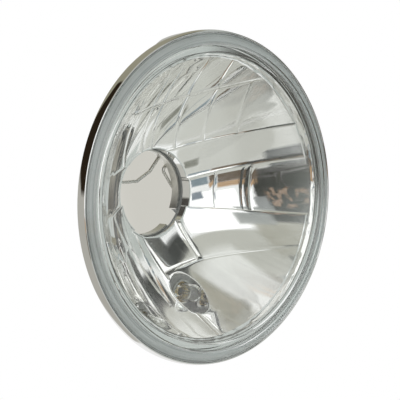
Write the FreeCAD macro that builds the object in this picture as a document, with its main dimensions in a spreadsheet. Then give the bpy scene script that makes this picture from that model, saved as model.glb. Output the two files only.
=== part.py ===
import FreeCAD, Part
import math
import os
import re
import Sketcher

# Motorcycle headlight insert: a clear glass lens sealed to a faceted reflector inside a chromed rim band,
# with a three-notch bulb seat, a wire clip that swings on it, and a pilot lamp in the lower part of the bowl.
# Frame: +Z up as fitted on the machine, the lamp faces -Y, and the origin is on the lamp's axis
# in the plane of the rim band's back face.

# Driving dimensions, in millimetres and degrees
SIZES = {
    # rim band
    "rim_radius": 73.0,
    "rim_wall": 0.7,
    "rim_depth": 4.0,
    "rim_flare": 0.6,
    "rim_land": 2.0,
    "rim_lip": 6.4,
    "rim_tab_half": 13.5,
    "rim_tab_ramp": 6.3,
    "rim_tab_length": 2.8,
    "rim_tab_taper": 0.15,
    "rim_clearance": 0.1,
    # lens and its seal
    "bevel_width": 2.9,
    "bevel_depth": 1.9,
    "lens_land": 1.5,
    "lens_groove_width": 1.0,
    "lens_groove_depth": 0.35,
    "lens_flat": 2.8,
    "lens_step_width": 1.2,
    "lens_step_depth": 0.5,
    "dome_rise": 8.0,
    "dome_wall": 3.2,
    "dome_foot": 2.0,
    "seal_thickness": 0.7,
    "seal_width": 5.0,
    # reflector
    "flange_thickness": 1.6,
    "flange_width": 8.6,
    "ledge_width": 2.4,
    "focal_length": 22.1,
    "bowl_wall": 2.6,
    "skirt_wall": 2.0,
    "neck_wall": 2.2,
    "neck_extension": 4.0,
    "neck_flange_margin": 0.5,
    "neck_flange_thickness": 2.6,
    # mirror facets
    "horizon_height": 0.8,
    "lower_row_height": 16.8,
    "upper_row_height": 41.6,
    "centre_column_half": 3.0,
    "column_width": 12.5,
    "facet_ratio": 0.8,
    "kink_angle": 15.0,
    "sector_drop": 5.5,
    "sector_slope_angle": 20.5,
    "sector_start": 12.0,
    "sector_split": 29.9,
    "sector_groove_at": 40.2,
    "sector_groove_width": 2.6,
    "sector_rise": 1.2,
    "panel_half_width": 11.1,
    "panel_bottom": 34.4,
    "panel_recess": 3.0,
    "lower_left_recess": 0.5,
    # bulb seat
    "seat_radius": 19.1,
    "seat_plate_margin": 0.7,
    "seat_plate": 1.0,
    "collar_wall": 0.8,
    "collar_gap": 0.2,
    "collar_length": 3.4,
    "notch_width": 9.0,
    "notch_depth": 4.5,
    "notch_spread_angle": 144.0,
    "notch_relief": 3.6,
    "rivet_gap": 0.2,
    "rivet_radius": 1.5,
    "rivet_head_radius": 2.4,
    "rivet_head_height": 0.9,
    "rivet_side_angle": 95.0,
    # bulb clip
    "wire_radius": 0.8,
    "wire_gap": 0.3,
    "hinge_drop": 27.0,
    "hinge_clearance": 0.05,
    "hinge_pad_half": 24.0,
    "hinge_pad_height": 14.0,
    "ear_offset": 20.6,
    "ear_thickness": 1.0,
    "ear_margin": 1.3,
    "pin_overhang": 1.6,
    "pin_inset": 2.4,
    "clip_knee_half": 21.0,
    "clip_knee_height": -6.5,
    "clip_press_half": 16.1,
    "clip_press_height": 5.6,
    "clip_catch_half": 21.6,
    "clip_catch_height": 8.2,
    "clip_top_half": 19.0,
    "clip_top_height": 14.2,
    "clip_bar_half": 8.6,
    "clip_bar_height": 7.2,
    "clip_sag_height": 5.1,
    "clip_bend": 1.9,
    "catch_thickness": 1.0,
    "catch_length": 5.0,
    # pilot lamp
    "pilot_side": -7.3,
    "pilot_drop_ratio": 0.69,
    "pilot_bore": 8.0,
    "pilot_boss_wall": 2.0,
    "pilot_boss_depth": 15.4,
    "grommet_grip": 11.0,
    "grommet_flange": 2.5,
    "grommet_flange_margin": 0.8,
    "grommet_tail_wall": 1.5,
    "shell_inner_radius": 4.75,
    "shell_wall": 0.8,
    "shell_front_reach": 1.0,
    "shell_margin": 0.3,
    "shell_bare": 0.5,
    "slot_width": 2.2,
    "pin_radius": 0.95,
    "pin_reach": 0.6,
    "pin_setback": 5.5,
    "cap_radius": 4.6,
    "cap_wall": 0.35,
    "cap_length": 9.5,
    "cap_setback": 4.9,
    "cap_crimp": 1.2,
    "glass_radius": 4.1,
    "glass_wall": 0.6,
    "glass_reach": 7.1,
    "glass_seat_depth": 3.0,
    "stem_height": 3.5,
    "stem_top_radius": 1.9,
    "lead_spacing": 2.2,
    "lead_radius": 0.25,
    "filament_radius": 0.3,
    "filament_height": 5.0,
    "tip_radius": 1.6,
    "tip_height": 0.9,
    "vitrite_height": 1.6,
    "leaf_thickness": 0.4,
    "leaf_width": 3.0,
    "leaf_lift": 1.2,
    "leaf_root": 3.8,
    "leaf_bend": 2.2,
    "leaf_knee": 1.0,
    "insulator_thickness": 3.0,
    "terminal_width": 6.3,
    "terminal_thickness": 0.8,
    "terminal_length": 8.0,
    "terminal_stem_radius": 1.2,
    "earth_width": 4.8,
}

# Places worked out from the driving dimensions
PLACES = {
    "rim_inner_radius": "rim_radius - rim_wall",
    "rim_front_radius": "rim_radius - rim_flare",
    "rim_front_inner": "rim_front_radius - rim_wall",
    "rim_lip_radius": "rim_radius - rim_lip",
    "rim_lip_y": "-rim_wall",
    "rim_land_y": "-rim_land",
    "rim_front_y": "-rim_depth",
    "rim_back_y": "0",
    "rim_tab_radius": "rim_radius - rim_tab_taper",
    "rim_tab_y": "rim_tab_length",
    "rim_tab_end_half": "rim_tab_half - rim_tab_ramp",
    "edge_radius": "rim_front_inner - rim_clearance",
    "flange_back_y": "-rim_wall",
    "flange_front_y": "flange_back_y - flange_thickness",
    "seal_inner_radius": "edge_radius - seal_width",
    "lens_back_y": "flange_front_y - seal_thickness",
    "lens_side_y": "rim_front_y",
    "lens_flange_y": "lens_side_y - bevel_depth",
    "bevel_radius": "edge_radius - bevel_width",
    "lens_groove_outer": "bevel_radius - lens_land",
    "lens_groove_radius": "lens_groove_outer - lens_groove_width",
    "lens_groove_y": "lens_flange_y + lens_groove_depth",
    "lens_step_radius": "lens_groove_radius - lens_flat",
    "lens_step_y": "lens_flange_y + lens_step_depth",
    "dome_edge_radius": "lens_step_radius - lens_step_width",
    "dome_inner_radius": "dome_edge_radius - dome_foot",
    "dome_front_y": "lens_step_y - dome_rise",
    "dome_back_y": "dome_front_y + dome_wall",
    "dome_outer_curve": "(dome_edge_radius^2 + dome_rise^2) / (2 * dome_rise)",
    "dome_inner_rise": "lens_back_y - dome_back_y",
    "dome_inner_curve": "(dome_inner_radius^2 + dome_inner_rise^2) / (2 * dome_inner_rise)",
    "mouth_radius": "edge_radius - flange_width",
    "vertex_y": "flange_front_y + mouth_radius^2 / (4 * focal_length)",
    "ledge_radius": "mouth_radius - ledge_width",
    "ledge_y": "vertex_y - ledge_radius^2 / (4 * focal_length)",
    "neck_back_y": "vertex_y + neck_extension",
    "seat_back_y": "neck_back_y + seat_plate",
    "collar_radius": "seat_radius + collar_wall",
    "neck_radius": "collar_radius + collar_gap",
    "neck_outer_radius": "neck_radius + neck_wall",
    "notch_radius": "seat_radius + notch_depth",
    "rivet_circle": "neck_outer_radius + rivet_gap + rivet_head_radius",
    "seat_plate_radius": "rivet_circle + rivet_head_radius + seat_plate_margin",
    "neck_flange_radius": "seat_plate_radius + neck_flange_margin",
    "collar_front_y": "neck_back_y - collar_length",
    "collar_full_length": "collar_length + seat_plate",
    "wire_y": "seat_back_y + wire_gap + wire_radius",
    "hinge_z": "-hinge_drop",
    "hinge_hole_radius": "wire_radius + hinge_clearance",
    "ear_radius": "hinge_hole_radius + ear_margin",
    "ear_height": "wire_y - seat_back_y",
    "ear_low_z": "hinge_z - ear_radius",
    "ear_breadth": "2 * ear_radius",
    "hinge_pad_width": "2 * hinge_pad_half",
    "pilot_height": "-mouth_radius * pilot_drop_ratio",
    "pilot_mirror_y": "vertex_y - (pilot_side^2 + pilot_height^2) / (4 * focal_length)",
    "pilot_boss_back": "pilot_mirror_y + pilot_boss_depth",
    "pilot_boss_radius": "pilot_bore + pilot_boss_wall",
    "grommet_front_y": "pilot_boss_back - grommet_grip",
    "grommet_flange_radius": "pilot_boss_radius + grommet_flange_margin",
    "grommet_flange_y": "pilot_boss_back + grommet_flange",
    "grommet_back_y": "shell_back_y - shell_bare",
    "shell_radius": "shell_inner_radius + shell_wall",
    "grommet_tail_radius": "shell_radius + grommet_tail_wall",
    "shell_front_y": "grommet_front_y - shell_front_reach",
    "shell_back_y": "insulator_back_y + shell_margin",
    "shell_length": "shell_back_y - shell_front_y",
    "cap_start": "pilot_mirror_y + cap_setback",
    "cap_back_y": "cap_start + cap_length",
    "cap_inner_radius": "cap_radius - cap_wall",
    "cap_end_y": "cap_back_y - cap_wall",
    "cap_throat_radius": "cap_inner_radius - cap_crimp",
    "pin_y": "cap_start + pin_setback",
    "glass_inner_radius": "glass_radius - glass_wall",
    "glass_tip": "pilot_mirror_y - glass_reach",
    "glass_shoulder_y": "glass_tip + glass_radius",
    "glass_inner_tip_y": "glass_tip + glass_wall",
    "glass_end_y": "cap_start + glass_seat_depth",
    "stem_top_y": "glass_end_y - stem_height",
    "filament_y": "stem_top_y - filament_height",
    "vitrite_front_y": "cap_back_y - cap_wall",
    "vitrite_back_y": "cap_back_y + vitrite_height",
    "tip_y": "vitrite_back_y + tip_height",
    "leaf_front_y": "tip_y",
    "leaf_under_y": "tip_y + leaf_thickness",
    "insulator_front_y": "tip_y + leaf_lift",
    "leaf_foot_y": "insulator_front_y - leaf_thickness",
    "insulator_back_y": "insulator_front_y + insulator_thickness",
    "leaf_root_z": "-leaf_root",
    "leaf_bend_z": "-leaf_bend",
    "leaf_bend_top_z": "-leaf_bend - leaf_thickness / 2",
    "leaf_knee_z": "-leaf_knee",
    "leaf_knee_top_z": "-leaf_knee - leaf_thickness / 2",
    "leaf_tip_z": "leaf_bend",
}

document = FreeCAD.newDocument("headlight")
sheet = document.addObject("Spreadsheet::Sheet", "Sizes")
for row, (alias, value) in enumerate(SIZES.items(), start=1):
    sheet.set("A%d" % row, alias)
    sheet.set("B%d" % row, str(value))
    sheet.setAlias("B%d" % row, alias)
places = document.addObject("Spreadsheet::Sheet", "Places")


def with_sheet_names(formula):
    """Give each alias in a formula the name of its sheet."""
    def named(word):
        alias = word.group(0)
        if alias in SIZES:
            return "Sizes." + alias
        if alias in PLACES:
            return "Places." + alias
        return alias
    return re.sub(r"[a-z][a-z_]*", named, formula)


for row, (alias, formula) in enumerate(PLACES.items(), start=1):
    places.set("A%d" % row, alias)
    places.setAlias("B%d" % row, alias)
for row, (alias, formula) in enumerate(PLACES.items(), start=1):
    places.set("B%d" % row, "=" + with_sheet_names(formula))
document.recompute()


def size(alias):
    """The number that a cell holds."""
    holder = sheet if alias in SIZES else places
    return float(holder.get(alias))


def bind(thing, setting, formula):
    """Tie a setting of an object to the sheets."""
    thing.setExpression(setting, with_sheet_names(formula))


X_AXIS = FreeCAD.Vector(1, 0, 0)
Y_AXIS = FreeCAD.Vector(0, 1, 0)
Z_AXIS = FreeCAD.Vector(0, 0, 1)
ALONG_Y = FreeCAD.Rotation(X_AXIS, -90)
ALONG_X = FreeCAD.Rotation(Y_AXIS, 90)
FULL_TURN = 360.0


# Sketch profiles and the bodies made from them
def sketch_on(body, role, corners, arcs=None):
    """A closed profile through corners given as alias pairs; None as a first alias means on the axis.

    arcs maps an edge's number to the alias of its radius and to the side it bulges to.
    """
    arcs = arcs or {}
    sketch = body.newObject("Sketcher::SketchObject", body.Name + "_profile")
    plane = next(item for item in body.Origin.OriginFeatures if item.Role == role)
    sketch.AttachmentSupport = [(plane, "")]
    sketch.MapMode = "FlatFace"
    points = []
    for across, along in corners:
        points.append(FreeCAD.Vector(size(across) if across else 0.0, size(along), 0.0))
    count = len(points)
    for edge in range(count):
        start = points[edge]
        end = points[(edge + 1) % count]
        if edge in arcs:
            alias, side = arcs[edge]
            sketch.addGeometry(arc_between(start, end, size(alias), side), False)
        else:
            sketch.addGeometry(Part.LineSegment(start, end), False)
    first = [starting_point(edge, arcs) for edge in range(count)]
    last = [ending_point(edge, arcs) for edge in range(count)]
    for edge in range(count):
        follower = (edge + 1) % count
        sketch.addConstraint(Sketcher.Constraint("Coincident", edge, last[edge], follower, first[follower]))
    for edge, (across, along) in enumerate(corners):
        if across:
            hold_from_origin(sketch, "DistanceX", (edge, first[edge], points[edge].x), across)
        else:
            sketch.addConstraint(Sketcher.Constraint("Vertical", -1, 1, edge, first[edge]))
        hold_from_origin(sketch, "DistanceY", (edge, first[edge], points[edge].y), along)
    for edge, (alias, side) in arcs.items():
        number = sketch.addConstraint(Sketcher.Constraint("Radius", edge, size(alias)))
        bind(sketch, "Constraints[%d]" % number, alias)
    return sketch


def hold_from_origin(sketch, kind, spot, alias):
    """Hold a corner at a bound distance from the sketch's origin, which is point 1 of its geometry -1."""
    number = sketch.addConstraint(Sketcher.Constraint(kind, -1, 1, *spot))
    bind(sketch, "Constraints[%d]" % number, alias)


def arc_between(start, end, radius, side):
    """An arc of less than a half turn; side 1 bulges to the left of the way from start to end."""
    chord = end - start
    middle = (start + end) / 2
    left = FreeCAD.Vector(-chord.y, chord.x, 0).normalize()
    drop = radius - math.sqrt(max(radius ** 2 - (chord.Length / 2) ** 2, 0.0))
    return Part.Arc(start, middle + left * (side * drop), end)


def starting_point(edge, arcs):
    """Sketch arcs run anticlockwise, so one that bulges left is stored from its end to its start."""
    return 2 if edge in arcs and arcs[edge][1] > 0 else 1


def ending_point(edge, arcs):
    return 3 - starting_point(edge, arcs)


def turned_body(label, corners, arcs=None):
    """A body turned about the lamp's axis from a profile of (radius, y) corners."""
    body = document.addObject("PartDesign::Body", label)
    profile = sketch_on(body, "XY_Plane", corners, arcs)
    turning = body.newObject("PartDesign::Revolution", label + "_turning")
    turning.Profile = profile
    turning.ReferenceAxis = (profile, ["V_Axis"])
    turning.Angle = FULL_TURN
    return body


def on_pilot_axis(thing):
    """Move an object made about the lamp's axis to the pilot lamp's axis."""
    bind(thing, "Placement.Base.x", "pilot_side")
    bind(thing, "Placement.Base.z", "pilot_height")
    return thing


# Primitives with bound sizes
def cylinder(name, radius, length, place, along=ALONG_Y):
    """A cylinder from formulas for radius, length and the centre of its first end."""
    thing = document.addObject("Part::Cylinder", name)
    thing.Placement = FreeCAD.Placement(FreeCAD.Vector(), along)
    bind(thing, "Radius", radius)
    bind(thing, "Height", length)
    set_place(thing, place)
    return thing


def box(name, sides, place, turn=None):
    """A box from formulas for its sides and its lowest corner."""
    thing = document.addObject("Part::Box", name)
    if turn is not None:
        thing.Placement = FreeCAD.Placement(FreeCAD.Vector(), turn)
    for setting, formula in zip(("Length", "Width", "Height"), sides):
        bind(thing, setting, formula)
    set_place(thing, place)
    return thing


def set_place(thing, place):
    for axis, formula in zip("xyz", place):
        bind(thing, "Placement.Base." + axis, formula)


def fused(name, pieces):
    thing = document.addObject("Part::MultiFuse", name)
    thing.Shapes = pieces
    return thing


def cut(name, base, tools):
    thing = document.addObject("Part::Cut", name)
    thing.Base = base
    thing.Tool = tools[0] if len(tools) == 1 else fused(name + "_tools", tools)
    return thing


# Lens, seal and rim band
def make_lens():
    corners = [
        (None, "dome_front_y"),
        ("dome_edge_radius", "lens_step_y"),
        ("lens_step_radius", "lens_step_y"),
        ("lens_step_radius", "lens_flange_y"),
        ("lens_groove_radius", "lens_flange_y"),
        ("lens_groove_radius", "lens_groove_y"),
        ("lens_groove_outer", "lens_groove_y"),
        ("lens_groove_outer", "lens_flange_y"),
        ("bevel_radius", "lens_flange_y"),
        ("edge_radius", "lens_side_y"),
        ("edge_radius", "lens_back_y"),
        ("dome_inner_radius", "lens_back_y"),
        (None, "dome_back_y"),
    ]
    front_arc = 0
    back_arc = 11
    arcs = {front_arc: ("dome_outer_curve", -1), back_arc: ("dome_inner_curve", 1)}
    return turned_body("lens", corners, arcs)


def make_seal():
    return turned_body("lens_seal", [
        ("seal_inner_radius", "lens_back_y"),
        ("edge_radius", "lens_back_y"),
        ("edge_radius", "flange_front_y"),
        ("seal_inner_radius", "flange_front_y"),
    ])


def make_rim_band():
    """Turned sheet section with a tapered locating tab behind its top, which has sloping ends."""
    section = turned_body("rim_section", [
        ("rim_front_inner", "rim_front_y"),
        ("rim_front_radius", "rim_front_y"),
        ("rim_radius", "rim_land_y"),
        ("rim_radius", "rim_back_y"),
        ("rim_lip_radius", "rim_back_y"),
        ("rim_lip_radius", "rim_lip_y"),
        ("rim_inner_radius", "rim_lip_y"),
        ("rim_inner_radius", "rim_land_y"),
    ])
    wall = turned_body("rim_tab_wall", [
        ("rim_inner_radius", "rim_back_y"),
        ("rim_radius", "rim_back_y"),
        ("rim_tab_radius", "rim_tab_y"),
        ("rim_inner_radius", "rim_tab_y"),
    ])
    outline = document.addObject("Part::Wedge", "rim_tab_outline")
    for setting, formula in (
        ("Xmin", "-rim_tab_half"), ("Xmax", "rim_tab_half"),
        ("X2min", "-rim_tab_end_half"), ("X2max", "rim_tab_end_half"),
        ("Ymin", "rim_back_y"), ("Ymax", "rim_tab_y"),
        ("Zmin", "0"), ("Zmax", "rim_radius + rim_wall"),
        ("Z2min", "0"), ("Z2max", "rim_radius + rim_wall"),
    ):
        bind(outline, setting, formula)
    tab = document.addObject("Part::Common", "rim_tab")
    tab.Base = wall
    tab.Tool = outline
    return fused("rim_band", [section, tab])


# Reflector: an outer bowl less one hollow per mirror facet
def point(x, y, z):
    return FreeCAD.Vector(x, y, z)


def turned_solid(edges):
    """A solid turned about the lamp's axis from edges that close in the XY plane."""
    face = Part.Face(Part.Wire(edges))
    return face.revolve(point(0, 0, 0), Y_AXIS, FULL_TURN)


def line(start, end):
    return Part.LineSegment(start, end).toShape()


def parabola(vertex_y, focal, inner, outer):
    """The exact parabola y = vertex_y - r^2 / (4 focal) from one radius to another."""
    start = point(inner, vertex_y - inner ** 2 / (4 * focal), 0)
    end = point(outer, vertex_y - outer ** 2 / (4 * focal), 0)
    crossing_y = vertex_y - inner * outer / (4 * focal)
    curve = Part.BezierCurve()
    curve.setPoles([start, point((inner + outer) / 2, crossing_y, 0), end])
    return curve.toShape(), start, end


def hollow_paraboloid(apex, focal):
    """The space in front of a mirror paraboloid, from its apex to the reflector's front plane."""
    front_y = size("flange_front_y")
    reach = math.sqrt(4 * focal * (apex.y - front_y))
    curve, start, end = parabola(apex.y, focal, 0.0, reach)
    foot = point(0, front_y, 0)
    solid = turned_solid([curve, line(end, foot), line(foot, start)])
    solid.translate(point(apex.x, 0, apex.z))
    return solid


def prism(outline):
    """A prism along Y over an outline of (x, z) corners, through the whole depth of the bowl."""
    front_y = size("flange_front_y")
    depth = size("neck_back_y") - front_y
    corners = [point(x, front_y, z) for x, z in outline]
    return Part.Face(Part.makePolygon(corners + corners[:1])).extrude(point(0, depth, 0))


def facet(outline, centre, ratio=1.0, recess=0.0):
    """One mirror facet's hollow.

    Its own paraboloid touches the main one at the facet's centre and is curved more tightly by the ratio;
    recess moves it back.
    """
    focal = size("focal_length")
    own_focal = focal * ratio
    x, z = centre
    apex_x = x * (1 - ratio)
    apex_z = z * (1 - ratio)
    main_y = size("vertex_y") - (x ** 2 + z ** 2) / (4 * focal)
    apex_y = main_y + ((x - apex_x) ** 2 + (z - apex_z) ** 2) / (4 * own_focal) + recess
    return prism(outline).common(hollow_paraboloid(point(apex_x, apex_y, apex_z), own_focal))


def rectangle(left, right, bottom, top):
    return [(left, bottom), (right, bottom), (right, top), (left, top)]


def column_edges(count, reach):
    """Left and right edges of a facet row: a narrow centre column and count columns to each side."""
    half = size("centre_column_half")
    right = [half + step * size("column_width") for step in range(count + 1)] + [reach]
    return [-edge for edge in reversed(right)] + right


def facet_centre(left, right, bottom, top):
    """Middle of the part of a cell that lies inside the mirror's edge."""
    edge = size("ledge_radius")
    half_width = math.sqrt(max(edge ** 2 - bottom ** 2, 0.0))
    middle_x = (max(left, -half_width) + min(right, half_width)) / 2
    return middle_x, (bottom + min(top, edge)) / 2


def upper_facets(reach):
    """A plain strip above the horizon and two rows of columns over it."""
    horizon = size("horizon_height")
    lower = size("lower_row_height")
    upper = size("upper_row_height")
    hollows = [facet(rectangle(-reach, reach, horizon, lower), (0.0, 0.0))]
    for bottom, top, count in ((lower, upper, 3), (upper, reach, 2)):
        edges = column_edges(count, reach)
        for left, right in zip(edges, edges[1:]):
            centre = facet_centre(left, right, bottom, top)
            hollows.append(facet(rectangle(left, right, bottom, top), centre, size("facet_ratio")))
    return hollows


def sector_bottom(x):
    """Height of the lower edge of the side sectors."""
    return -size("sector_drop") - abs(x) * math.tan(math.radians(size("sector_slope_angle")))


def sector_facets(reach):
    """The raised side sectors, cut across by lines square to the kink direction of the dipped beam."""
    horizon = size("horizon_height")
    cosine = math.cos(math.radians(size("kink_angle")))
    sine = math.sin(math.radians(size("kink_angle")))
    slope = math.tan(math.radians(size("sector_slope_angle")))
    groove = size("sector_groove_at")
    groove_end = groove + size("sector_groove_width")
    spans = [
        (size("sector_start"), size("sector_split"), -size("sector_rise")),
        (size("sector_split"), groove, -size("sector_rise")),
        (groove, groove_end, 0.0),
        (groove_end, reach, -size("sector_rise")),
    ]
    hollows = []
    for side in (1, -1):
        for near, far, recess in spans:
            outline = []
            for along in (near, far):
                top_x = (along + horizon * sine) / cosine
                low_x = (along - size("sector_drop") * sine) / (cosine + slope * sine)
                outline.append((top_x, horizon))
                outline.append((low_x, sector_bottom(low_x)))
            order = (0, 1, 3, 2)
            corners = [(side * outline[index][0], outline[index][1]) for index in order]
            middle = (near + min(far, size("ledge_radius"))) / 2
            centre = (side * middle * cosine, -middle * sine)
            hollows.append(facet(corners, centre, size("facet_ratio"), recess))
    return hollows


def lower_facets(reach):
    """The plain lower half, its left part set back a little, and the deep panel under the bulb opening."""
    edge = -size("panel_half_width")
    top = sector_bottom(0.0)
    rim = sector_bottom(reach)
    whole = [(-reach, rim), (0.0, top), (reach, rim), (reach, -reach), (-reach, -reach)]
    left = [(-reach, rim), (edge, sector_bottom(edge)), (edge, -reach), (-reach, -reach)]
    panel = rectangle(edge, -edge, -size("panel_bottom"), top)
    return [
        facet(whole, (0.0, 0.0)),
        facet(left, (0.0, 0.0), 1.0, size("lower_left_recess")),
        facet(panel, (0.0, 0.0), 1.0, size("panel_recess")),
    ]


def y_cylinder(radius, start_y, end_y, x=0.0, z=0.0):
    return Part.makeCylinder(radius, end_y - start_y, point(x, start_y, z), Y_AXIS)


def outer_bowl():
    """The reflector's outside as one solid: flange, skirt, bowl, neck, panel bulge and pilot boss."""
    focal = size("focal_length")
    front_y = size("flange_front_y")
    back_y = size("neck_back_y")
    skirt = size("mouth_radius") + size("skirt_wall")
    skirt_y = size("ledge_y") + size("skirt_wall")
    neck = size("neck_outer_radius")
    flange = size("neck_flange_radius")
    flange_y = back_y - size("neck_flange_thickness")
    outer_vertex = size("vertex_y") + size("bowl_wall")
    bowl = math.sqrt(4 * focal * (outer_vertex - skirt_y))
    curve, bowl_top, bowl_foot = parabola(outer_vertex, focal, neck, bowl)
    corners = [
        bowl_foot,
        point(skirt, skirt_y, 0),
        point(skirt, size("flange_back_y"), 0),
        point(size("edge_radius"), size("flange_back_y"), 0),
        point(size("edge_radius"), front_y, 0),
        point(0, front_y, 0),
        point(0, back_y, 0),
        point(flange, back_y, 0),
        point(flange, flange_y, 0),
        point(neck, flange_y, 0),
        bowl_top,
    ]
    edges = [line(start, end) for start, end in zip(corners, corners[1:])]
    solid = turned_solid([curve] + edges)
    wall = size("bowl_wall")
    half = size("panel_half_width") + wall
    bulge = facet(rectangle(-half, half, -size("panel_bottom") - wall, 0.0), (0.0, 0.0), 1.0,
                  size("panel_recess") + wall)
    boss = y_cylinder(size("pilot_boss_radius"), front_y, size("pilot_boss_back"),
                      size("pilot_side"), size("pilot_height"))
    return solid.fuse([bulge, boss])


def notch_turns():
    """Angles of the three bulb notches from the top, turned about the lamp's axis."""
    spread = size("notch_spread_angle")
    return (0.0, spread, -spread)


def neck_reliefs():
    """Slots in the end of the neck that clear the three notches of the seat."""
    half = size("notch_width") / 2
    slots = []
    for turn in notch_turns():
        slot = Part.makeBox(2 * half, size("notch_relief"), size("notch_radius"),
                            point(-half, size("neck_back_y") - size("notch_relief"), 0))
        slot.rotate(point(0, 0, 0), Y_AXIS, turn)
        slots.append(slot)
    return slots


def rivet_places():
    """Centres of the three rivets: one below the opening and one to each side."""
    radius = size("rivet_circle")
    turns = (180.0, size("rivet_side_angle"), -size("rivet_side_angle"))
    return [(radius * math.sin(math.radians(turn)), radius * math.cos(math.radians(turn))) for turn in turns]


def make_reflector():
    reach = size("mouth_radius") + size("skirt_wall")
    front_y = size("flange_front_y")
    back_y = size("neck_back_y")
    inside = y_cylinder(size("ledge_radius"), front_y, back_y)
    facets = upper_facets(reach) + sector_facets(reach) + lower_facets(reach)
    hollows = [hollow.common(inside) for hollow in facets]
    hollows.append(y_cylinder(size("mouth_radius"), front_y, size("ledge_y")))
    hollows.append(y_cylinder(size("neck_radius"), front_y, back_y))
    hollows.append(y_cylinder(size("pilot_bore"), 0.0, size("pilot_boss_back"),
                              size("pilot_side"), size("pilot_height")))
    hollows += neck_reliefs()
    for x, z in rivet_places():
        hollows.append(y_cylinder(size("rivet_radius"), back_y - size("neck_flange_thickness"), back_y, x, z))
    reflector = document.addObject("Part::Feature", "reflector")
    reflector.Shape = outer_bowl().cut(hollows)
    return reflector


# Bulb seat with its rivets
def make_bulb_seat():
    """Pressed plate and drawn collar with three notches, hinge ears at the foot and a catch at each side."""
    plate = cylinder("seat_disc", "seat_plate_radius", "seat_plate", ("0", "neck_back_y", "0"))
    collar = cylinder("seat_collar", "collar_radius", "collar_full_length", ("0", "collar_front_y", "0"))
    pad_foot = "hinge_z - ear_radius"
    pad = box("hinge_pad", ("hinge_pad_width", "seat_plate", "hinge_pad_height"),
              ("-hinge_pad_half", "neck_back_y", pad_foot))
    solids = [plate, collar, pad]
    tools = [cylinder("seat_bore", "seat_radius", "collar_full_length", ("0", "collar_front_y", "0"))]
    for name, left in (("right", "ear_offset"), ("left", "-ear_offset - ear_thickness")):
        solids.append(box(name + "_ear_foot", ("ear_thickness", "ear_height", "ear_breadth"),
                          (left, "seat_back_y", "ear_low_z")))
        eye = (left, "wire_y", "hinge_z")
        solids.append(cylinder(name + "_ear_eye", "ear_radius", "ear_thickness", eye, ALONG_X))
        tools.append(cylinder(name + "_ear_hole", "hinge_hole_radius", "ear_thickness", eye, ALONG_X))
    catch_inner = "clip_catch_half + wire_radius + wire_gap"
    catch_sides = ("catch_thickness", "2 * wire_radius + wire_gap + seat_plate", "catch_length")
    catch_foot = "clip_catch_height - catch_length / 2"
    for name, left in (("right", catch_inner), ("left", "-(" + catch_inner + ") - catch_thickness")):
        solids.append(box(name + "_catch", catch_sides, (left, "neck_back_y", catch_foot)))
    for number, turn in enumerate(notch_turns()):
        notch = document.addObject("Part::Box", "seat_notch_%d" % number)
        bind(notch, "Length", "notch_width")
        bind(notch, "Width", "collar_full_length")
        bind(notch, "Height", "notch_radius")
        shift = point(-size("notch_width") / 2, size("collar_front_y"), 0)
        rotation = FreeCAD.Rotation(Y_AXIS, turn)
        notch.Placement = FreeCAD.Placement(rotation.multVec(shift), rotation)
        tools.append(notch)
    for number, (x, z) in enumerate(rivet_places()):
        tools.append(cylinder("seat_rivet_hole_%d" % number, "rivet_radius", "seat_plate",
                              (str(x), "neck_back_y", str(z))))
    return cut("bulb_seat", fused("bulb_seat_blank", solids), tools)


def make_seat_rivets():
    rivets = []
    for x, z in rivet_places():
        front_y = size("neck_back_y") - size("neck_flange_thickness")
        back_y = size("seat_back_y")
        shank = y_cylinder(size("rivet_radius"), front_y, back_y, x, z)
        height = size("rivet_head_height")
        head = y_cylinder(size("rivet_head_radius"), back_y, back_y + height, x, z)
        tail = y_cylinder(size("rivet_head_radius"), front_y - height, front_y, x, z)
        rivets.append(shank.fuse([head, tail]).removeSplitter())
    group = document.addObject("Part::Feature", "seat_rivets")
    group.Shape = Part.makeCompound(rivets)
    return group


# Wire clip
def rounded_path(points, bend):
    """Edges of straight runs through the points, joined by tangent arcs of one radius."""
    edges = []
    start = points[0]
    for before, corner, after in zip(points, points[1:], points[2:]):
        to_before = (before - corner).normalize()
        to_after = (after - corner).normalize()
        half = to_before.getAngle(to_after) / 2
        back = bend / math.tan(half)
        first = corner + to_before * back
        last = corner + to_after * back
        inward = (to_before + to_after).normalize()
        middle = corner + inward * (bend / math.sin(half) - bend)
        edges.append(line(start, first))
        edges.append(Part.Arc(first, middle, last).toShape())
        start = last
    edges.append(line(start, points[-1]))
    return edges


def wire_run(edge, radius):
    """A round wire along one straight or curved edge."""
    start = edge.valueAt(edge.FirstParameter)
    heading = edge.tangentAt(edge.FirstParameter)
    section = Part.Face(Part.Wire(Part.Circle(start, heading, radius).toShape()))
    if isinstance(edge.Curve, Part.Circle):
        turn = math.degrees(edge.LastParameter - edge.FirstParameter)
        return section.revolve(edge.Curve.Center, edge.Curve.Axis, turn)
    return section.extrude(edge.valueAt(edge.LastParameter) - start)


def make_bulb_clip():
    """Spring wire in one plane: hinge pins at the feet, pressing knees in the legs, a bar across the top."""
    plane_y = size("wire_y")
    foot_z = size("hinge_z")
    pin_end = size("ear_offset") + size("ear_thickness") + size("pin_overhang")
    right = [
        (pin_end, foot_z),
        (size("ear_offset") - size("pin_inset"), foot_z),
        (size("clip_knee_half"), size("clip_knee_height")),
        (size("clip_press_half"), size("clip_press_height")),
        (size("clip_catch_half"), size("clip_catch_height")),
        (size("clip_top_half"), size("clip_top_height")),
        (size("clip_bar_half"), size("clip_bar_height")),
    ]
    middle = [(0.0, size("clip_sag_height"))]
    left = [(-x, z) for x, z in reversed(right)]
    path = rounded_path([point(x, plane_y, z) for x, z in right + middle + left], size("clip_bend"))
    runs = [wire_run(edge, size("wire_radius")) for edge in path]
    clip = document.addObject("Part::Feature", "bulb_clip")
    clip.Shape = runs[0].fuse(runs[1:]).removeSplitter()
    return clip


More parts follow.
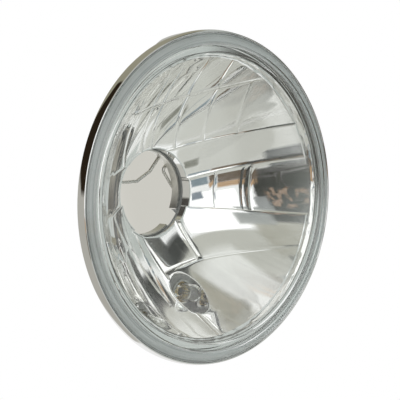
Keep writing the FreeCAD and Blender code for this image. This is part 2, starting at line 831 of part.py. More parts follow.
# Pilot lamp
def make_pilot_grommet():
    return on_pilot_axis(turned_body("pilot_grommet", [
        ("shell_radius", "grommet_front_y"),
        ("pilot_bore", "grommet_front_y"),
        ("pilot_bore", "pilot_boss_back"),
        ("grommet_flange_radius", "pilot_boss_back"),
        ("grommet_flange_radius", "grommet_flange_y"),
        ("grommet_tail_radius", "grommet_flange_y"),
        ("grommet_tail_radius", "grommet_back_y"),
        ("shell_radius", "grommet_back_y"),
    ]))


def make_socket_shell():
    """Steel tube with a slot at each side for the cap's bayonet pins."""
    outside = cylinder("shell_outside", "shell_radius", "shell_length",
                       ("pilot_side", "shell_front_y", "pilot_height"))
    inside = cylinder("shell_inside", "shell_inner_radius", "shell_length",
                      ("pilot_side", "shell_front_y", "pilot_height"))
    slots = box("shell_slots", ("2 * shell_radius", "pin_y + slot_width / 2 - shell_front_y", "slot_width"),
                ("pilot_side - shell_radius", "shell_front_y", "pilot_height - slot_width / 2"))
    return cut("socket_shell", outside, [inside, slots])


def make_bulb_glass():
    corners = [
        (None, "glass_tip"),
        ("glass_radius", "glass_shoulder_y"),
        ("glass_radius", "glass_end_y"),
        ("glass_inner_radius", "glass_end_y"),
        ("glass_inner_radius", "glass_shoulder_y"),
        (None, "glass_inner_tip_y"),
    ]
    outer_arc = 0
    inner_arc = 4
    arcs = {outer_arc: ("glass_radius", -1), inner_arc: ("glass_inner_radius", 1)}
    return on_pilot_axis(turned_body("bulb_glass", corners, arcs))


def make_bulb_stem():
    return on_pilot_axis(turned_body("bulb_stem", [
        (None, "stem_top_y"),
        ("stem_top_radius", "stem_top_y"),
        ("glass_inner_radius", "glass_end_y"),
        (None, "glass_end_y"),
    ]))


def make_bulb_cap():
    """Brass shell with a turned-in end and two bayonet pins."""
    shell = on_pilot_axis(turned_body("cap_tube", [
        ("cap_inner_radius", "cap_start"),
        ("cap_radius", "cap_start"),
        ("cap_radius", "cap_back_y"),
        ("cap_throat_radius", "cap_back_y"),
        ("cap_throat_radius", "cap_end_y"),
        ("cap_inner_radius", "cap_end_y"),
    ]))
    pin_length = "cap_wall + pin_reach"
    right = cylinder("cap_pin_right", "pin_radius", pin_length,
                     ("pilot_side + cap_inner_radius", "pin_y", "pilot_height"), ALONG_X)
    left = cylinder("cap_pin_left", "pin_radius", pin_length,
                    ("pilot_side - cap_radius - pin_reach", "pin_y", "pilot_height"), ALONG_X)
    return fused("bulb_cap", [shell, right, left])


def make_cap_insulator():
    return on_pilot_axis(turned_body("cap_insulator", [
        (None, "vitrite_front_y"),
        ("cap_throat_radius", "vitrite_front_y"),
        ("cap_throat_radius", "cap_back_y"),
        ("tip_radius", "vitrite_back_y"),
        (None, "vitrite_back_y"),
    ]))


def make_cap_contact():
    return on_pilot_axis(turned_body("cap_contact", [
        (None, "vitrite_back_y"),
        ("tip_radius", "vitrite_back_y"),
        ("terminal_stem_radius", "tip_y"),
        (None, "tip_y"),
    ]))


def make_bulb_leads():
    leads = []
    for side in (1, -1):
        x = size("pilot_side") + side * size("lead_spacing") / 2
        z = size("pilot_height")
        leads.append(y_cylinder(size("lead_radius"), size("filament_y"), size("stem_top_y"), x, z))
    group = document.addObject("Part::Feature", "bulb_leads")
    group.Shape = Part.makeCompound(leads)
    return group


def make_bulb_filament():
    start = "pilot_side - lead_spacing / 2 + lead_radius"
    length = "lead_spacing - 2 * lead_radius"
    return cylinder("bulb_filament", "filament_radius", length,
                    (start, "filament_y + filament_radius", "pilot_height"), ALONG_X)


def make_socket_insulator():
    disc = cylinder("insulator_disc", "shell_inner_radius", "insulator_thickness",
                    ("pilot_side", "insulator_front_y", "pilot_height"))
    hole = cylinder("insulator_hole", "terminal_stem_radius", "insulator_thickness",
                    ("pilot_side", "insulator_front_y", "pilot_height"))
    return cut("socket_insulator", disc, [hole])


def make_contact_spring():
    """Bent leaf that reaches from the insulator to the bulb's tip."""
    body = document.addObject("PartDesign::Body", "contact_spring")
    profile = sketch_on(body, "YZ_Plane", [
        ("insulator_front_y", "leaf_root_z"),
        ("insulator_front_y", "leaf_bend_z"),
        ("leaf_under_y", "leaf_knee_z"),
        ("leaf_under_y", "leaf_tip_z"),
        ("leaf_front_y", "leaf_tip_z"),
        ("leaf_front_y", "leaf_knee_top_z"),
        ("leaf_foot_y", "leaf_bend_top_z"),
        ("leaf_foot_y", "leaf_root_z"),
    ])
    strip = body.newObject("PartDesign::Pad", "leaf_strip")
    strip.Profile = profile
    strip.Midplane = True
    bind(strip, "Length", "leaf_width")
    return on_pilot_axis(body)


def make_live_terminal():
    stem = cylinder("terminal_stem", "terminal_stem_radius", "insulator_thickness",
                    ("pilot_side", "insulator_front_y", "pilot_height"))
    low_side = "pilot_side - terminal_width / 2"
    underside = "pilot_height - terminal_thickness / 2"
    blade = box("terminal_blade", ("terminal_width", "terminal_length", "terminal_thickness"),
                (low_side, "insulator_back_y", underside))
    return fused("live_terminal", [stem, blade])


def make_earth_terminal():
    return box("earth_terminal", ("earth_width", "terminal_length", "terminal_thickness"),
               ("pilot_side - earth_width / 2", "shell_back_y",
                "pilot_height - shell_inner_radius - terminal_thickness / 2"))


MAKERS = [
    make_lens,
    make_seal,
    make_rim_band,
    make_reflector,
    make_bulb_seat,
    make_seat_rivets,
    make_bulb_clip,
    make_pilot_grommet,
    make_socket_shell,
    make_bulb_glass,
    make_bulb_stem,
    make_bulb_cap,
    make_cap_insulator,
    make_cap_contact,
    make_bulb_leads,
    make_bulb_filament,
    make_socket_insulator,
    make_contact_spring,
    make_live_terminal,
    make_earth_terminal,
]

sub_parts = [make() for make in MAKERS]
document.recompute()

for item in document.Objects:
    if "Invalid" in item.State or "Error" in item.State:
        raise RuntimeError("failed object: " + item.Label)
for sub_part in sub_parts:
    shape = sub_part.Shape
    if shape.isNull() or not shape.isValid() or not shape.Solids:
        raise RuntimeError("bad shape: " + sub_part.Label)

os.makedirs("parts", exist_ok=True)
for sub_part in sub_parts:
    sub_part.Shape.exportStep(os.path.join("parts", sub_part.Label + ".step"))
    volume = sub_part.Shape.Volume
    print("%-18s %2d solid(s) %10.1f mm3" % (sub_part.Label, len(sub_part.Shape.Solids), volume))
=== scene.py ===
import math

import bmesh
import bpy
import numpy as np
from mathutils import Matrix, Vector
from mathutils.geometry import delaunay_2d_cdt


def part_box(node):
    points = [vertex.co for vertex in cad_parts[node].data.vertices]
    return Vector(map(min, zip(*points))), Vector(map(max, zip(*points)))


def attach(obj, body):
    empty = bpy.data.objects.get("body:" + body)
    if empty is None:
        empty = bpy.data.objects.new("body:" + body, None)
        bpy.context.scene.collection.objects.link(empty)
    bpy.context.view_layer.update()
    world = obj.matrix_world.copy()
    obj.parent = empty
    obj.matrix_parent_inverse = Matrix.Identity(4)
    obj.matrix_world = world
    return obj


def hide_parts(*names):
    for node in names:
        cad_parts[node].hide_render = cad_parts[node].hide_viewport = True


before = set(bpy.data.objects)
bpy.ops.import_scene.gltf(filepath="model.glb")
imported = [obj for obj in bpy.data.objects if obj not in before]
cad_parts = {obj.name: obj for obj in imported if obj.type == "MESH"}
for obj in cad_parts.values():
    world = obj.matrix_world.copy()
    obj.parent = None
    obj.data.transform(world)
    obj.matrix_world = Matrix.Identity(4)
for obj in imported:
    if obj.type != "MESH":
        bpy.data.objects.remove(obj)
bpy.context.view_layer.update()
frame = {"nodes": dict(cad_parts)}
nodes = frame["nodes"]

MM = 0.001
LAMP = "lamp"
scene = bpy.context.scene

# Sizes of the reflector in millimetres, in the lamp's own frame
FOCAL = 22.1
VERTEX_Y = 42.598
MOUTH_R = 63.0
MOUTH_CHAMFER = 0.3
LEDGE_R = 60.6
LEDGE_Y = VERTEX_Y - LEDGE_R ** 2 / (4 * FOCAL)
FLANGE_FRONT_Y = -2.3
FLANGE_R = 71.6
NECK_R = 20.1
NECK_COAT_Y = 41.2
PILOT_X = -7.3
PILOT_Z = -43.47
PILOT_R = 8.0
PILOT_WALL_Y = 36.0

# Borders and recesses of the facets in millimetres, and their focal length against the main one
FACET_RATIO = 0.8
HORIZON = 0.8
LOWER_ROW = 16.8
UPPER_ROW = 41.6
LOWER_COLUMNS = (3.0, 15.5, 28.0, 40.5)
UPPER_COLUMNS = LOWER_COLUMNS[:3]
KINK = math.radians(15.0)
SECTOR_START = 10.0
SECTOR_DROP = 5.5
SECTOR_SLOPE = math.tan(math.radians(20.5))
SECTOR_CUTS = (12.0, 29.9, 40.2, 42.8)
SECTOR_RISE = 1.2
FLUSH_SECTOR_INDEX = 2
PANEL_HALF = 11.1
PANEL_TOP = -10.0
PANEL_BOTTOM = -34.4
PANEL_RECESS = 3.0
LEFT_RECESS = 0.5
LINE_OVERRUN = 1.0


# Meshes
ON_AXIS = 1e-6


def new_object(name, data):
    obj = bpy.data.objects.new(name, data)
    scene.collection.objects.link(obj)
    return obj


def mesh_object(name, verts, faces):
    """A smooth mesh object from points in millimetres."""
    mesh = bpy.data.meshes.new(name)
    mesh.from_pydata([(x * MM, y * MM, z * MM) for x, y, z in verts], [], faces)
    mesh.validate()
    smooth_faces(mesh)
    return new_object(name, mesh)


def smooth_faces(mesh):
    mesh.polygons.foreach_set("use_smooth", [True] * len(mesh.polygons))


def spin_profile(profile, steps, closed=True):
    """Points and faces of a profile of (radius, y) corners turned about the lamp's axis."""
    verts = []
    faces = []
    rings = []
    for radius, y in profile:
        if radius < ON_AXIS:
            rings.append([len(verts)])
            verts.append((0.0, y, 0.0))
            continue
        rings.append(list(range(len(verts), len(verts) + steps)))
        for step in range(steps):
            turn = 2 * math.pi * step / steps
            verts.append((radius * math.sin(turn), y, radius * math.cos(turn)))
    pairs = list(zip(rings, rings[1:]))
    if closed:
        pairs.append((rings[-1], rings[0]))
    for first, second in pairs:
        if len(first) == 1 and len(second) == 1:
            continue
        for step in range(steps):
            after = (step + 1) % steps
            if len(first) == 1:
                faces.append((first[0], second[after], second[step]))
            elif len(second) == 1:
                faces.append((first[step], first[after], second[0]))
            else:
                faces.append((first[step], first[after], second[after], second[step]))
    return verts, faces


def sharpen(obj, degrees):
    """Mark edges over an angle as sharp and point the faces outward."""
    bm = bmesh.new()
    bm.from_mesh(obj.data)
    bmesh.ops.recalc_face_normals(bm, faces=bm.faces)
    limit = math.radians(degrees)
    for edge in bm.edges:
        if len(edge.link_faces) == 2 and edge.calc_face_angle(0.0) > limit:
            edge.smooth = False
    bm.to_mesh(obj.data)
    bm.free()


# Mirror facets: the same cells as the solid, on a fine mesh that follows their borders
def sector_bottom(x):
    """Height of the side sectors' lower border, for one x or an array of them."""
    return -SECTOR_DROP - abs(x) * SECTOR_SLOPE


def sector_reach(x, z):
    """Distance from the axis along a side sector."""
    return abs(x) * math.cos(KINK) - z * math.sin(KINK)


def main_cell(name, recess=0.0):
    """A cell of the main paraboloid."""
    return (name,), (0.0, 0.0), 1.0, recess


def row_cell(x, bottom, top, columns):
    """The cell of an upper row over a point."""
    half = math.sqrt(max(LEDGE_R ** 2 - bottom ** 2, 0.0))
    edges = [-half] + [-edge for edge in reversed(columns)] + list(columns) + [half]
    index = sum(1 for edge in edges[1:-1] if x > edge)
    centre = ((edges[index] + edges[index + 1]) / 2, (bottom + top) / 2)
    return ("row", bottom, index), centre, FACET_RATIO, 0.0


def sector_cell(x, z):
    """The cell of a side sector over a point."""
    reach = sector_reach(x, z)
    index = max(sum(1 for cut in SECTOR_CUTS if reach > cut) - 1, 0)
    ends = SECTOR_CUTS[1:] + (LEDGE_R,)
    middle = (SECTOR_CUTS[index] + ends[index]) / 2
    side = 1 if x > 0 else -1
    recess = 0.0 if index == FLUSH_SECTOR_INDEX else -SECTOR_RISE
    centre = (side * middle * math.cos(KINK), -middle * math.sin(KINK))
    return ("sector", side, index), centre, FACET_RATIO, recess


def cell_at(x, z):
    """Key, centre, curve ratio and recess of the facet over a point."""
    if z > UPPER_ROW:
        return row_cell(x, UPPER_ROW, LEDGE_R, UPPER_COLUMNS)
    if z > LOWER_ROW:
        return row_cell(x, LOWER_ROW, UPPER_ROW, LOWER_COLUMNS)
    if z > HORIZON:
        return main_cell("plain")
    if z > sector_bottom(x):
        return sector_cell(x, z)
    if abs(x) < PANEL_HALF and z > PANEL_BOTTOM:
        return main_cell("panel", PANEL_RECESS)
    if x < -PANEL_HALF:
        return main_cell("left", LEFT_RECESS)
    return main_cell("lower")


def facet_y(cell, x, z):
    """Depth of a facet's own paraboloid, which touches the main one at the facet's centre."""
    _, (cx, cz), ratio, recess = cell
    focal = FOCAL * ratio
    ax = cx * (1 - ratio)
    az = cz * (1 - ratio)
    touch = VERTEX_Y - (cx ** 2 + cz ** 2) / (4 * FOCAL)
    apex = touch + ((cx - ax) ** 2 + (cz - az) ** 2) / (4 * focal)
    return apex + recess - ((x - ax) ** 2 + (z - az) ** 2) / (4 * focal)


# Fine relief of the mirror in millimetres: lips along the borders, a ridge from the panel, beads
LIP_WIDTH = 1.0
LIP_HEIGHT = 0.28
LIP_ROWS = (0.25, 0.5, 0.75, 1.0)
SECTOR_LIP_SHARE = 0.5
RIDGE_END = (47.5, -38.7)
RIDGE_HEIGHT = 0.18
BEAD_WIDTH = 0.8
BEAD_HEIGHT = 0.3
BEAD_ROWS = (0.2, 0.4, 0.6, 0.8)

# Spacing of the mirror's mesh in millimetres, and the margins that keep its rows apart
LINE_STEP = 0.6
FILL_STEP = 0.8
FILL_ROW_SHARE = 0.866
NECK_STEPS = 360
LEDGE_STEPS = 900
PILOT_STEPS = 180
ROW_MARGIN = 0.12
ROW_BEAD_MARGIN = 0.1
ROW_LINE_SHARE = 0.9
FILL_MARGIN = 0.35
FILL_BEAD_MARGIN = 0.3
EDGE_MARGIN = 0.1
PLAN_TOLERANCE = 1e-5
WHOLE_HULL = 0
LEAST_PARTS = 2
SPARE_ROWS = 2
LEAST_WALL = 1e-4
WELD_DISTANCE_M = 1e-7


def facet_lines():
    """Border lines of the facets as pairs of (x, z) ends, with the fine ridge as the last one."""
    out = LEDGE_R + LINE_OVERRUN
    lines = [((-out, z), (out, z)) for z in (HORIZON, LOWER_ROW, UPPER_ROW)]
    for side in (1, -1):
        for edge in LOWER_COLUMNS:
            lines.append(((side * edge, LOWER_ROW), (side * edge, UPPER_ROW)))
        for edge in UPPER_COLUMNS:
            lines.append(((side * edge, UPPER_ROW), (side * edge, out)))
        lines.append(((side * SECTOR_START, sector_bottom(SECTOR_START)),
                      (side * out, sector_bottom(out))))
        for cut in SECTOR_CUTS[1:]:
            top_x = (cut + HORIZON * math.sin(KINK)) / math.cos(KINK)
            lean = math.cos(KINK) + SECTOR_SLOPE * math.sin(KINK)
            low_x = (cut - SECTOR_DROP * math.sin(KINK)) / lean
            lines.append(((side * top_x, HORIZON), (side * low_x, sector_bottom(low_x))))
        lines.append(((side * PANEL_HALF, PANEL_BOTTOM), (side * PANEL_HALF, PANEL_TOP)))
    lines.append(((-PANEL_HALF, PANEL_BOTTOM), (PANEL_HALF, PANEL_BOTTOM)))
    lines.append(((-PANEL_HALF, PANEL_BOTTOM), (-PANEL_HALF, -out)))
    lines.append(((PANEL_HALF, PANEL_BOTTOM), RIDGE_END))
    return lines


def line_length(line):
    (ax, az), (bx, bz) = line
    return math.hypot(bx - ax, bz - az)


def line_point(line, share, offset=0.0):
    """The point at a share of a line's length, at an offset to its side."""
    (ax, az), (bx, bz) = line
    length = line_length(line)
    nx, nz = -(bz - az) / length, (bx - ax) / length
    return ax + (bx - ax) * share + nx * offset, az + (bz - az) * share + nz * offset


def circle_points(cx, cz, radius, count):
    turns = [2 * math.pi * step / count for step in range(count)]
    return [(cx + radius * math.cos(turn), cz + radius * math.sin(turn)) for turn in turns]


def line_distance(points, lines):
    """Distance from each point to the nearest of the lines."""
    best = np.full(len(points), np.inf)
    for start, end in lines:
        start = np.array(start)
        along = np.array(end) - start
        share = np.clip((points - start) @ along / (along @ along), 0.0, 1.0)
        gap = points - start - share[:, None] * along
        best = np.minimum(best, np.hypot(gap[:, 0], gap[:, 1]))
    return best


def axis_distance(points):
    return np.hypot(points[:, 0], points[:, 1])


def pilot_distance(points):
    return np.hypot(points[:, 0] - PILOT_X, points[:, 1] - PILOT_Z)


def inside_mirror(points, margin):
    """Which points are on the mirror, by a margin from the ledge and the two openings."""
    radius = axis_distance(points)
    in_bowl = (radius > NECK_R + margin) & (radius < LEDGE_R - margin)
    return in_bowl & (pilot_distance(points) > PILOT_R + margin)


def hole_distance(points):
    """Distance from each point to the edge of the bulb opening or the pilot lamp's hole."""
    neck = axis_distance(points) - NECK_R
    pilot = pilot_distance(points) - PILOT_R
    return np.minimum(np.abs(neck), np.abs(pilot))


def border_points(lines):
    """Points along the border lines and round the mirror's edges, and the edges that join them."""
    points = []
    edges = []
    for line in lines:
        count = max(int(line_length(line) / LINE_STEP), LEAST_PARTS)
        first = len(points)
        points += [line_point(line, step / count) for step in range(count + 1)]
        edges += [(first + step, first + step + 1) for step in range(count)]
    for circle in ((0, 0, NECK_R, NECK_STEPS), (0, 0, LEDGE_R, LEDGE_STEPS),
                   (PILOT_X, PILOT_Z, PILOT_R, PILOT_STEPS)):
        count = circle[-1]
        first = len(points)
        points += circle_points(*circle)
        edges += [(first + step, first + (step + 1) % count) for step in range(count)]
    return points, edges


def lip_points(lines):
    """Rows of points along both sides of the border lines, for the slopes of the lips."""
    rows = []
    for line in lines:
        count = int(line_length(line) / LINE_STEP)
        for row in LIP_ROWS:
            for offset in (row, -row):
                rows += [line_point(line, (step + 0.5) / count, offset) for step in range(count)]
    rows = np.array(rows)
    off_beads = hole_distance(rows) > BEAD_WIDTH + ROW_BEAD_MARGIN
    rows = rows[inside_mirror(rows, ROW_MARGIN) & off_beads]
    return rows[line_distance(rows, lines) > LIP_ROWS[0] * ROW_LINE_SHARE]


def bead_points(lines):
    """Rings of points round the two openings, for the slopes of the beads."""
    beads = []
    for offset in BEAD_ROWS:
        beads += circle_points(0, 0, NECK_R + offset, NECK_STEPS)
        beads += circle_points(PILOT_X, PILOT_Z, PILOT_R + offset, PILOT_STEPS)
    beads = np.array(beads)
    return beads[inside_mirror(beads, ROW_MARGIN) & (line_distance(beads, lines) > ROW_MARGIN)]


def fill_points(lines):
    """An even triangle grid over the rest of the mirror."""
    count = int(LEDGE_R / FILL_STEP) + SPARE_ROWS
    span = range(-count, count + 1)
    fill = np.array([((column + 0.5 * (row % 2)) * FILL_STEP, row * FILL_STEP * FILL_ROW_SHARE)
                     for row in span for column in span])
    off_beads = hole_distance(fill) > BEAD_WIDTH + FILL_BEAD_MARGIN
    fill = fill[inside_mirror(fill, FILL_MARGIN) & off_beads]
    return fill[line_distance(fill, lines) > LIP_ROWS[-1] + FILL_MARGIN]


def mirror_plan(lines):
    """A triangulated plan of the mirror in (x, z), with every border line and opening in it."""
    points, edges = border_points(lines)
    for extra in (lip_points(lines), bead_points(lines), fill_points(lines)):
        points += extra.tolist()
    corners = [Vector(point) for point in points]
    plan = delaunay_2d_cdt(corners, edges, [], WHOLE_HULL, PLAN_TOLERANCE)
    plan_points = np.array([tuple(point) for point in plan[0]])
    plan_faces = np.array([face for face in plan[2] if len(face) == 3])
    middles = plan_points[plan_faces].mean(axis=1)
    return plan_points, plan_faces[inside_mirror(middles, 0.0)]


def raised(distances, width, height):
    """Height of a pointed ridge over points at these distances from its middle."""
    return np.clip(1.0 - distances / width, 0.0, 1.0) ** 2 * height


def relief(points, lines):
    """Height of the lips, the fine ridge and the beads over each point of the plan."""
    x, z = points.T
    in_sector = (z < HORIZON - LIP_WIDTH) & (z > sector_bottom(x) - LIP_WIDTH)
    lips = raised(line_distance(points, lines[:-1]), LIP_WIDTH, LIP_HEIGHT)
    lips *= np.where(in_sector, SECTOR_LIP_SHARE, 1.0)
    ridge = raised(line_distance(points, lines[-1:]), LIP_WIDTH, RIDGE_HEIGHT)
    beads = raised(hole_distance(points), BEAD_WIDTH, BEAD_HEIGHT)
    return np.maximum(np.maximum(lips, ridge), beads)


def edge_depth(x, z):
    """Depth to which the mirror's edge runs on: the ledge, the neck or the pilot lamp's bore."""
    radius = math.hypot(x, z)
    if radius > LEDGE_R - EDGE_MARGIN:
        return LEDGE_Y
    if radius < NECK_R + EDGE_MARGIN:
        return NECK_COAT_Y
    return PILOT_WALL_Y


def facet_mesh():
    """Points and faces of the facets, with walls at their steps and at the mirror's edges."""
    lines = facet_lines()
    points, triangles = mirror_plan(lines)
    heights = relief(points, lines)
    cells = {}
    owner = []
    for triangle in triangles:
        cell = cell_at(*points[triangle].mean(axis=0))
        cells[cell[0]] = cell
        owner.append(cell[0])
    verts = []
    faces = []
    index = {}

    def corner(key, number):
        if (key, number) not in index:
            x, z = points[number]
            index[(key, number)] = len(verts)
            verts.append((x, facet_y(cells[key], x, z) - heights[number], z))
        return index[(key, number)]

    def border(key, edge):
        return [verts[corner(key, number)] for number in edge]

    def wall(low, high):
        """A strip between two pairs of points, with its own corners so that its edges are sharp."""
        if max(abs(a[1] - b[1]) for a, b in zip(low, high)) < LEAST_WALL:
            return
        first = len(verts)
        verts.extend((low[0], low[1], high[1], high[0]))
        faces.append((first, first + 1, first + 2, first + 3))

    neighbours = {}
    for triangle, key in zip(triangles, owner):
        a, b, c = (int(number) for number in triangle)
        faces.append((corner(key, a), corner(key, b), corner(key, c)))
        for start, end in ((a, b), (b, c), (c, a)):
            neighbours.setdefault((min(start, end), max(start, end)), []).append(key)
    for edge, keys in neighbours.items():
        pair = border(keys[0], edge)
        if len(keys) == 2 and keys[0] != keys[1]:
            wall(pair, border(keys[1], edge))
        if len(keys) == 1:
            depth = edge_depth(*points[list(edge)].mean(axis=0))
            wall(pair, [(x, depth, z) for x, _, z in pair])
    return verts, faces


# Rolled top of the ledge: shares of its width and heights in millimetres
RING_STEPS = 720
LEDGE_ROLL = ((0.0, 0.0), (0.1, 0.1), (0.22, 0.18), (0.36, 0.22),
              (0.5, 0.2), (0.64, 0.12), (0.78, 0.03), (1.0, 0.0))
# Waves that moulding leaves in it: count round the ring, height in millimetres, shift in radians
LEDGE_WAVES = ((19, 0.06, 0.4), (47, 0.045, 1.7), (83, 0.028, 2.9))


def ledge_wave(vert):
    """A point of the ledge with its height changed by the waves, which fade out at both edges."""
    x, y, z = vert
    share = (math.hypot(x, z) - LEDGE_R) / (MOUTH_R - LEDGE_R)
    turn = math.atan2(z, x)
    wave = sum(height * math.sin(count * turn + shift) for count, height, shift in LEDGE_WAVES)
    return x, y - wave * max(4 * share * (1 - share), 0.0), z


def make_mirror_skin():
    """The aluminised inside of the reflector, from the facets and bores to the flange."""
    verts, faces = facet_mesh()
    width = MOUTH_R - LEDGE_R
    ledge = [(LEDGE_R + width * share, LEDGE_Y - height) for share, height in LEDGE_ROLL]
    chamfer_y = FLANGE_FRONT_Y + MOUTH_CHAMFER
    chamfer_r = MOUTH_R + MOUTH_CHAMFER
    for profile in (ledge,
                    [(MOUTH_R, LEDGE_Y), (MOUTH_R, chamfer_y)],
                    [(MOUTH_R, chamfer_y), (chamfer_r, FLANGE_FRONT_Y)],
                    [(chamfer_r, FLANGE_FRONT_Y), (FLANGE_R, FLANGE_FRONT_Y)]):
        ring_verts, ring_faces = spin_profile(profile, RING_STEPS, closed=False)
        if profile is ledge:
            ring_verts = [ledge_wave(vert) for vert in ring_verts]
        first = len(verts)
        verts.extend(ring_verts)
        faces.extend(tuple(first + number for number in face) for face in ring_faces)
    skin = mesh_object("mirror_skin", verts, faces)
    bm = bmesh.new()
    bm.from_mesh(skin.data)
    lone = [vert for vert in bm.verts if len(vert.link_faces) == 1]
    bmesh.ops.remove_doubles(bm, verts=lone, dist=WELD_DISTANCE_M)
    bm.to_mesh(skin.data)
    bm.free()
    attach(skin, LAMP)
    return skin


# Lens in millimetres: flange with a bevel and a groove between two lands, then the dome
LENS_STEPS = 360
CAP_STEPS = 40
LENS_CREASE_DEG = 24.0
LENS_BACK_Y = -3.02
LENS_SIDE_Y = -4.0
LENS_FLANGE_Y = -5.9
BEVEL_R = 69.2
BEVEL_DROP = 0.28
LAND_OUTER_R = 68.7
GROOVE_OUTER_R = 67.2
GROOVE_INNER_R = 66.2
GROOVE_DEPTH = 0.35
LAND_INNER_R = 63.4
EDGE_SOFT = 0.18
WALL_DRAFT = 0.2
DOME_STEP_Y = -5.4
DOME_EDGE_R = 62.2
DOME_RISE = 8.0
DOME_INNER_R = 60.2
DOME_INNER_APEX_Y = -10.2


def cap_points(edge_r, edge_y, apex_y):
    """Points of a spherical cap from its edge to the axis."""
    rise = edge_y - apex_y
    radius = (edge_r ** 2 + rise ** 2) / (2 * rise)
    half = math.asin(edge_r / radius)
    centre_y = apex_y + radius
    out = []
    for step in range(CAP_STEPS):
        turn = half * (1 - step / CAP_STEPS)
        out.append((radius * math.sin(turn), centre_y - radius * math.cos(turn)))
    return out + [(0.0, apex_y)]


def make_lens():
    """Domed glass with rounded ring edges on its flange."""
    soft_y = LENS_FLANGE_Y + EDGE_SOFT
    groove_y = LENS_FLANGE_Y + GROOVE_DEPTH
    outside = [
        (FLANGE_R, LENS_BACK_Y),
        (FLANGE_R, LENS_SIDE_Y),
        (BEVEL_R, LENS_FLANGE_Y + BEVEL_DROP),
        (LAND_OUTER_R, LENS_FLANGE_Y),
        (GROOVE_OUTER_R + EDGE_SOFT, LENS_FLANGE_Y),
        (GROOVE_OUTER_R, soft_y),
        (GROOVE_OUTER_R - WALL_DRAFT, groove_y),
        (GROOVE_INNER_R + WALL_DRAFT, groove_y),
        (GROOVE_INNER_R, soft_y),
        (GROOVE_INNER_R - EDGE_SOFT, LENS_FLANGE_Y),
        (LAND_INNER_R + EDGE_SOFT, LENS_FLANGE_Y),
        (LAND_INNER_R, soft_y),
        (LAND_INNER_R - WALL_DRAFT, DOME_STEP_Y),
    ]
    front = cap_points(DOME_EDGE_R, DOME_STEP_Y, DOME_STEP_Y - DOME_RISE)
    back = cap_points(DOME_INNER_R, LENS_BACK_Y, DOME_INNER_APEX_Y)
    verts, faces = spin_profile(outside + front + list(reversed(back)), LENS_STEPS)
    lens = mesh_object("lens_glass", verts, faces)
    sharpen(lens, LENS_CREASE_DEG)
    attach(lens, LAMP)
    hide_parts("lens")
    return lens


# Chromed rim band as (radius, y) corners in millimetres, with softened edges
RIM_STEPS = 720
RIM_CREASE_DEG = 30.0
RIM_FRONT = [(71.7, -3.85), (71.85, -4.0), (72.2, -4.0), (72.4, -3.88),
             (72.7, -2.9), (72.93, -2.15), (72.985, -1.9)]
RIM_WALL_END = [(72.985, -0.3), (72.95, -0.1), (72.87, -0.03),
                (72.75, 0.0), (72.45, 0.0), (72.34, -0.03)]
RIM_BACK = [(72.3, 0.0), (66.85, 0.0), (66.65, -0.12), (66.6, -0.35), (66.65, -0.58), (66.85, -0.7)]
RIM_INSIDE = [(72.1, -0.7), (72.3, -0.9), (72.3, -1.95)]
# Tapered locating tab behind its top
TAB_HALF = 13.5
TAB_RAMP = 6.3
TAB_LENGTH = 2.8
TAB_TAPER = 0.12
TAB_OUTER_R = 72.6


def tab_share(x, z):
    """Share of the tab's full length at a point on the rim's wall."""
    if z < 0:
        return 0.0
    return min(max((TAB_HALF - abs(x)) / TAB_RAMP, 0.0), 1.0)


def make_rim_band():
    """The rim turned from its corners, with the wall's end drawn out to the tab at the top."""
    profile = RIM_FRONT + RIM_WALL_END + RIM_BACK + RIM_INSIDE
    verts, faces = spin_profile(profile, RIM_STEPS)
    first = (len(RIM_FRONT) + 1) * RIM_STEPS
    for number in range(first, first + (len(RIM_WALL_END) - 1) * RIM_STEPS):
        x, y, z = verts[number]
        share = tab_share(x, z)
        radius = math.hypot(x, z)
        inset = 1 - TAB_TAPER * share / radius if radius > TAB_OUTER_R else 1.0
        verts[number] = (x * inset, y + TAB_LENGTH * share, z * inset)
    band = mesh_object("chrome_band", verts, faces)
    sharpen(band, RIM_CREASE_DEG)
    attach(band, LAMP)
    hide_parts("rim_band")
    return band


# Filament wound as a coil between the lead wires
COIL_TURNS = 9
COIL_TURN_STEPS = 14
COIL_WIRE_R = 0.055 * MM
COIL_WIRE_DETAIL = 2


def make_filament():
    """A coil of fine wire that fills the box of the solid's plain rod."""
    low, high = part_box("bulb_filament")
    middle = (low + high) / 2
    radius = (high.z - low.z) / 2 - COIL_WIRE_R
    length = high.x - low.x - 2 * COIL_WIRE_R
    data = bpy.data.curves.new("filament_coil", "CURVE")
    data.dimensions = "3D"
    spline = data.splines.new("POLY")
    count = COIL_TURNS * COIL_TURN_STEPS
    spline.points.add(count)
    for step in range(count + 1):
        share = step / count
        angle = 2 * math.pi * COIL_TURNS * share
        x = low.x + COIL_WIRE_R + length * share
        y = middle.y + radius * math.cos(angle)
        z = middle.z + radius * math.sin(angle)
        spline.points[step].co = (x, y, z, 1)
    data.bevel_depth = COIL_WIRE_R
    data.bevel_resolution = COIL_WIRE_DETAIL
    curve = new_object("filament_curve", data)
    bpy.context.view_layer.update()
    shaped = curve.evaluated_get(bpy.context.evaluated_depsgraph_get())
    mesh = bpy.data.meshes.new_from_object(shaped)
    bpy.data.objects.remove(curve)
    smooth_faces(mesh)
    coil = new_object("filament_coil", mesh)
    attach(coil, LAMP)
    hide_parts("bulb_filament")
    return coil


mirror_skin = make_mirror_skin()
lens_glass = make_lens()
rim_piece = make_rim_band()
filament = make_filament()

# Materials: the range that noise mostly fills, and depths of bumps
NOISE_RANGE = (0.3, 0.7)
WIDE_RANGE = (0.2, 0.8)
METAL_BUMP = 0.03 * MM
POLISH_BUMP = 0.04 * MM
RING_BUMP = 0.1 * MM
SKIN_BUMP = 0.12 * MM
FLOW_BUMP = 0.4 * MM


